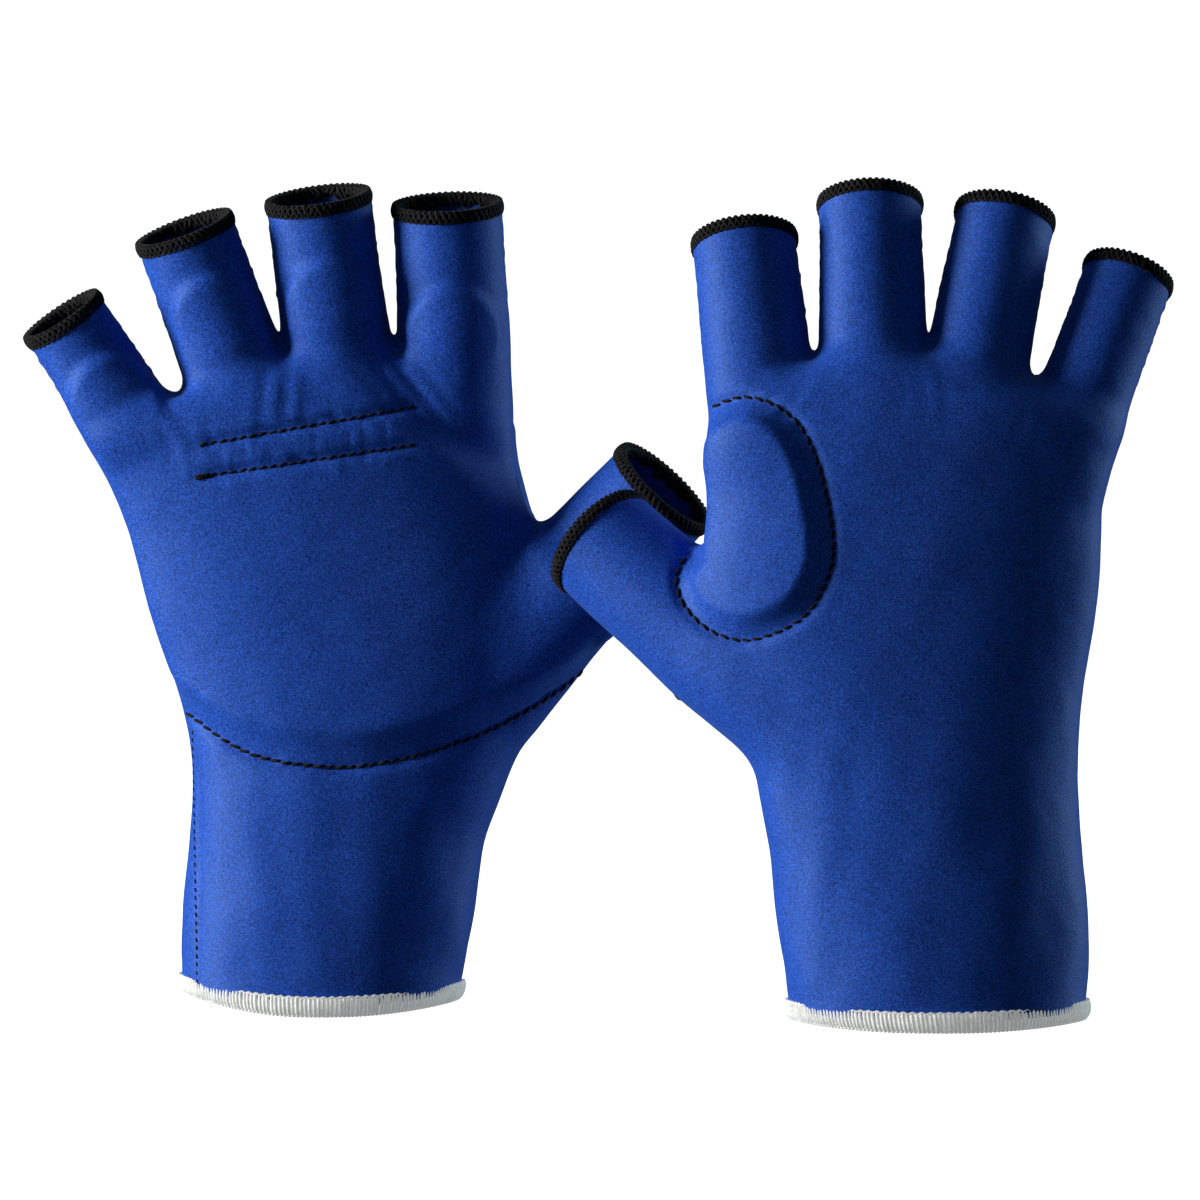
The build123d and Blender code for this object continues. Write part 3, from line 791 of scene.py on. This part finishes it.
def build_glove(name, pose):
    glove = Glove(name, pose)
    pattern = Pattern(glove)
    values, low = grid_values(glove, CELL)
    points, quads = surface_net(values, low, CELL)
    points = settle(glove.distance, points, quads, 3)

    # open the ends
    past = points[:, 2] < CUFF_TRIM
    for digit in glove.digits.values():
        a, b, along = digit.local(points)
        w, d = digit.half_sizes(along)
        near = (a / w) ** 2 + (b / d) ** 2 < 1.5
        past |= near & (digit.past_end(points, 0.5) > 0)
    keep = ~past[quads].any(1)
    points, quads = compact(points, quads[keep])

    # relief, then the cuff's own curve
    smooth_normals = gradient(glove.distance, points)
    smooth_normals /= np.linalg.norm(smooth_normals, axis=1)[:, None]
    shaped = points + smooth_normals * pattern.relief(points, smooth_normals)[:, None]
    inner = shaped - smooth_normals * LINING_DEPTH

    def curve_cuff(p):
        p = p.copy()
        across = (p[:, 0] - glove.middle(p[:, 2])) / glove.width(p[:, 2])
        rise = np.where(across < 0, *pose["cuff_rise"])
        p[:, 2] += rise * across**2 * step((CUFF_CURVE - p[:, 2]) / CUFF_CURVE)
        return p

    shaped, inner = curve_cuff(shaped), curve_cuff(inner)
    normals = vertex_normals(shaped, quads)

    # split by what each part of the fabric is
    centre = points[quads].mean(1)
    facing = smooth_normals[quads].mean(1)
    _, _, above_heel, web_d, web_in = pattern.regions(centre, facing)
    thumb = glove.digits["thumb"]
    thumb_along = thumb.local(centre)[2]
    nearer_thumb = thumb.distance(centre) < glove.hand_distance(centre)
    is_thumb = (thumb_along > THUMB_CROTCH - 1.0) & nearer_thumb
    is_web_pad = ~is_thumb & web_in & (facing[:, 1] > -0.3) & (web_d > 0.4)
    is_palm_pad = ~is_thumb & (facing[:, 1] < -0.25) & (above_heel > 0.5)
    is_palm_pad &= centre[:, 2] < PALM_PAD_TOP
    is_fabric = ~(is_thumb | is_web_pad | is_palm_pad)

    hand, fingers, thumb_body = name + "_hand", name + "_fingers", name + "_thumb"
    flex_start = glove.world(glove.flex_point - glove.flex_up * FLEX_REACH[0])
    flex_end = glove.world(glove.flex_point + glove.flex_up * FLEX_REACH[1])
    made = {}

    def cloth(label, mask, mat, base, flip):
        """A piece of the fabric's own mesh; flip turns it to face the hand."""
        p, q, n, rest = compact(base, quads[mask], normals, points)
        if flip:
            q, n = q[:, ::-1], -n
        n = n * np.array((glove.turn, glove.turn, 1.0))
        obj = add_object(f"{name}_{label}", glove.world(p), q, n, rest * MM)
        obj.data.materials.append(mat)
        made[label] = obj
        return obj

    for label, mask, mat, base, flip in (
        ("fabric", is_fabric, BLUE, shaped, False),
        ("palm_gel_pad", is_palm_pad, BLUE, shaped, False),
        ("web_gel_pad", is_web_pad, BLUE, shaped, False),
        ("inner_fabric", ~is_thumb, SHADED_LINING, inner, True),
    ):
        obj = cloth(label, mask, mat, base, flip)
        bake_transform(obj)
    thumb_start = glove.world(thumb.point(THUMB_CROTCH))
    thumb_end = glove.world(thumb.point(THUMB_CROTCH + THUMB_REACH))
    for label, mask, mat, base, flip in (
        ("thumb_fabric", is_thumb, BLUE, shaped, False),
        ("thumb_inner_fabric", is_thumb, SHADED_LINING, inner, True),
    ):
        obj = cloth(label, mask, mat, base, flip)
        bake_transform(obj)

    # overlocked edges
    def thread_piece(label, p, faces, mat, body=None):
        world = glove.world(p)
        obj = add_object(f"{name}_{label}", world, faces, rest=p * MM)
        obj.data.materials.append(mat)
        made[label] = obj
        if body:
            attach(obj, body)
        return obj

    for digit_name in DIGITS:
        digit = glove.digits[digit_name]
        w, d = digit.half_sizes(digit.length)
        size = math.pi * (w + d)

        def ring(angle, along, outset, digit=digit):
            return digit.ring(angle, digit.length + along, outset)

        p, faces = overlock(ring, size, seed=DIGITS.index(digit_name), **FINGER_EDGE)
        body = thumb_body if digit_name == "thumb" else fingers
        thread_piece(digit_name + "_overlock", p, faces, BLACK, body)

    def cuff_ring(angle, along, outset):
        z = HEM_END - along
        x = math.cos(angle) * (float(glove.width(z)) + outset) + float(glove.middle(z))
        y = math.sin(angle) * (float(glove.depth(z)) + outset)
        rise = pose["cuff_rise"][0 if math.cos(angle) < 0 else 1] * math.cos(angle) ** 2
        rise = rise * (1 - z / CUFF_CURVE)
        return np.array((x, y, z + rise))

    p, faces = overlock(cuff_ring, CUFF_GIRTH, seed=CUFF_SEED, **CUFF_EDGE)
    thread_piece("cuff_overlock_thread", p, faces, WHITE_PAINTED_GLOW, hand)

    # stitched lines
    surface = BVHTree.FromPolygons([tuple(p) for p in shaped], [tuple(q) for q in quads])

    def on_fabric(x, z, side):
        """The fabric's point and normal at x and z, seen from one side, or None twice."""
        hit, normal, _, _ = surface.ray_cast(Vector((x, side * RAY_START, z)), Vector((0, -side, 0)))
        return (np.array(hit), np.array(normal)) if hit else (None, None)

    def stitches(label, line, side, pitch, share, radius, tack=()):
        """Stitches on the fabric, each the given share of the pitch, and tacks across the start."""
        curve, length = curve_through(line, 0.2)
        count = round(length / pitch)
        pitch = length / count
        paths, ways = [], []
        for i in range(count):
            spots = []
            for t in np.linspace(0, share, STITCH_SAMPLES):
                at = (i + 0.5 * (1 - share) + t) * pitch / length * (len(curve) - 1)
                k = min(max(int(round(at)), 1), len(curve) - 2)
                tangent = unit(curve[k + 1] - curve[k - 1])
                across = np.array((-tangent[1], tangent[0]))
                x, z = curve[k] + across * STITCH_SLANT * radius * (t / share - 0.5)
                spots.append(on_fabric(x, z, side))
            if any(s[0] is None for s in spots):
                continue
            sink = 0.16 - 0.5 * np.abs(np.linspace(-1, 1, STITCH_SAMPLES)) ** 3
            paths.append([s[0] + s[1] * h for s, h in zip(spots, sink)])
            ways.append([s[1] for s in spots])
        for drop in tack:
            x, z = curve[0]
            runs = np.linspace(-0.6, 2.6, STITCH_SAMPLES)
            spots = [on_fabric(x + run, z + drop + 0.15 * run, side) for run in runs]
            paths.append([s[0] + s[1] * 0.3 for s in spots])
            ways.append([s[1] for s in spots])
        p, faces = tubes(paths, ways, radius * np.array((0.7, 0.95, 1, 1, 1, 0.95, 0.7)), 7)
        return thread_piece(label, p, faces, BLACK)

    obj = stitches("heel_stitches", pattern.heel[::6], PALM_SIDE, 2.5, 0.9, 0.4)
    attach(obj, hand)
    labels = ("flex_stitches_lower", "flex_stitches_upper")
    tacks = ((-0.35, 0.0, 0.35), ())
    for label, line, tack in zip(labels, pattern.flex, tacks):
        ends_and_middle = line[[0, len(line) // 2, -1]]
        obj = stitches(label, ends_and_middle, PALM_SIDE, 2.35, 0.78, 0.35, tack)
        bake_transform(obj)
    obj = stitches("web_pad_stitches", pattern.web_pad[::4], BACK_SIDE, 2.5, 0.88, 0.36)
    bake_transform(obj)
    seam = [(pattern.seam_x - 0.02 * z, z) for z in np.linspace(3, 66, 12)]
    obj = stitches("side_seam_stitches", seam, PALM_SIDE, 1.9, 0.62, 0.16)
    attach(obj, hand)

    # hide the CAD parts that these pieces replace
    stalls = [f"{name}_{f}_stall" for f in FINGERS]
    panels = [f"{name}_{n}" for n in ("back_panel", "knuckle_palm_panel", "knuckle_back_panel")]
    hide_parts(*stalls, *panels)
    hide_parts(f"{name}_palm_panel", f"{name}_palm_pad")
    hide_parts(f"{name}_web_pad")
    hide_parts(f"{name}_palm_lining", *[f"{name}_{f}_pad" for f in FINGERS])
    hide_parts(f"{name}_thumb_stall")
    for digit_name in DIGITS:
        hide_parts(f"{name}_{digit_name}_edge_overlock")
    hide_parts(f"{name}_cuff_overlock", f"{name}_cuff_elastic")
    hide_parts(f"{name}_heel_stitching")
    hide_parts(f"{name}_lower_flex_stitching")
    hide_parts(f"{name}_upper_flex_stitching")
    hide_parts(f"{name}_web_pad_stitching", f"{name}_web_pad_top_stitching")
    for label, obj in made.items():
        "stitches" in label or label.split("_")[0] in DIGITS and "overlock" in label


for glove_name, glove_pose in GLOVES.items():
    build_glove(glove_name, glove_pose)


# ---------------------------------------------------------------- stage, lights and camera
def studio():
    """A pale round floor that curves up and closes overhead, beyond the camera on every side."""
    radius, corner, middle = 20.0, 3.0, 0.5
    quarter = np.linspace(0, math.pi / 2, 13)
    profile = [(r, 0.0) for r in (middle, 2.0, 6.0, 12.0)]
    profile += [(radius - corner + math.sin(a) * corner, corner - math.cos(a) * corner) for a in quarter]
    span = radius - middle
    profile += [(middle + span * math.cos(a), corner + radius * math.sin(a)) for a in quarter[1:]]
    turns = np.linspace(0, 2 * math.pi, 64, endpoint=False)
    points = [(r * math.cos(t), r * math.sin(t), z) for t in turns for r, z in profile]
    n, m = len(turns), len(profile)
    quads = [(i * m + j, i * m + j + 1, (i + 1) % n * m + j + 1, (i + 1) % n * m + j)
             for i in range(n) for j in range(m - 1)]
    caps = [[i * m for i in range(n)], [i * m + m - 1 for i in reversed(range(n))]]
    obj = add_object("studio_floor", points, quads + caps)
    mat, tree, shader, place = material("studio_paper", 0.9)
    paper = ramp(tree, noise_node(tree, place, 6.0), ((0.3, (0.86, 0.86, 0.865)), (0.7, (0.9, 0.9, 0.9))))
    tree.links.new(paper, shader.inputs["Base Color"])
    shader.inputs["Emission Color"].default_value = (1, 1, 1, 1)
    shader.inputs["Emission Strength"].default_value = 1.1
    obj.data.materials.append(mat)
    obj.visible_diffuse = False
    obj.visible_glossy = False
    obj.visible_shadow = False


def area_light(name, place, target, size, power, colour=(1, 1, 1)):
    light = bpy.data.lights.new(name, "AREA")
    light.shape = "RECTANGLE"
    light.size, light.size_y = size
    light.energy = power
    light.color = colour
    obj = bpy.data.objects.new(name, light)
    obj.location = place
    obj.rotation_euler = (Vector(target) - Vector(place)).to_track_quat("-Z", "Y").to_euler()
    bpy.context.scene.collection.objects.link(obj)


studio()
world = bpy.data.worlds.new("studio")
world.use_nodes = True
world.node_tree.nodes["Background"].inputs["Color"].default_value = (0.5, 0.8, 1, 1)
world.node_tree.nodes["Background"].inputs["Strength"].default_value = 0.07
bpy.context.scene.world = world
area_light("key", (-1.75, -0.33, 0.42), (0, 0, 0.1), (0.5, 0.9), 50)
area_light("rim_right", (1.3, 0.5, 0.3), (0, 0, 0.1), (0.35, 1.0), 9, (0.65, 0.88, 1))
area_light("fill", (-0.2, -2.4, 0.5), (0, 0, 0.1), (1.2, 1.2), 1.2)

AIM = Vector((0.0014, 0.0, 0.0966))
ELEVATION = math.radians(2.5)
DISTANCE = 4.0
FRAME_WIDTH = 0.276  # across the picture, at the aim
SENSOR = 36.0
camera = bpy.data.cameras.new("camera")
camera.sensor_width = SENSOR
camera.lens = SENSOR * DISTANCE / FRAME_WIDTH
camera.clip_end = 100
camera_object = bpy.data.objects.new("camera", camera)
camera_object.location = AIM + Vector((0, -math.cos(ELEVATION), math.sin(ELEVATION))) * DISTANCE
camera_object.rotation_euler = (math.pi / 2 - ELEVATION, 0, 0)
bpy.context.scene.collection.objects.link(camera_object)
bpy.context.scene.camera = camera_object
bpy.context.scene.view_settings.view_transform = "Standard"
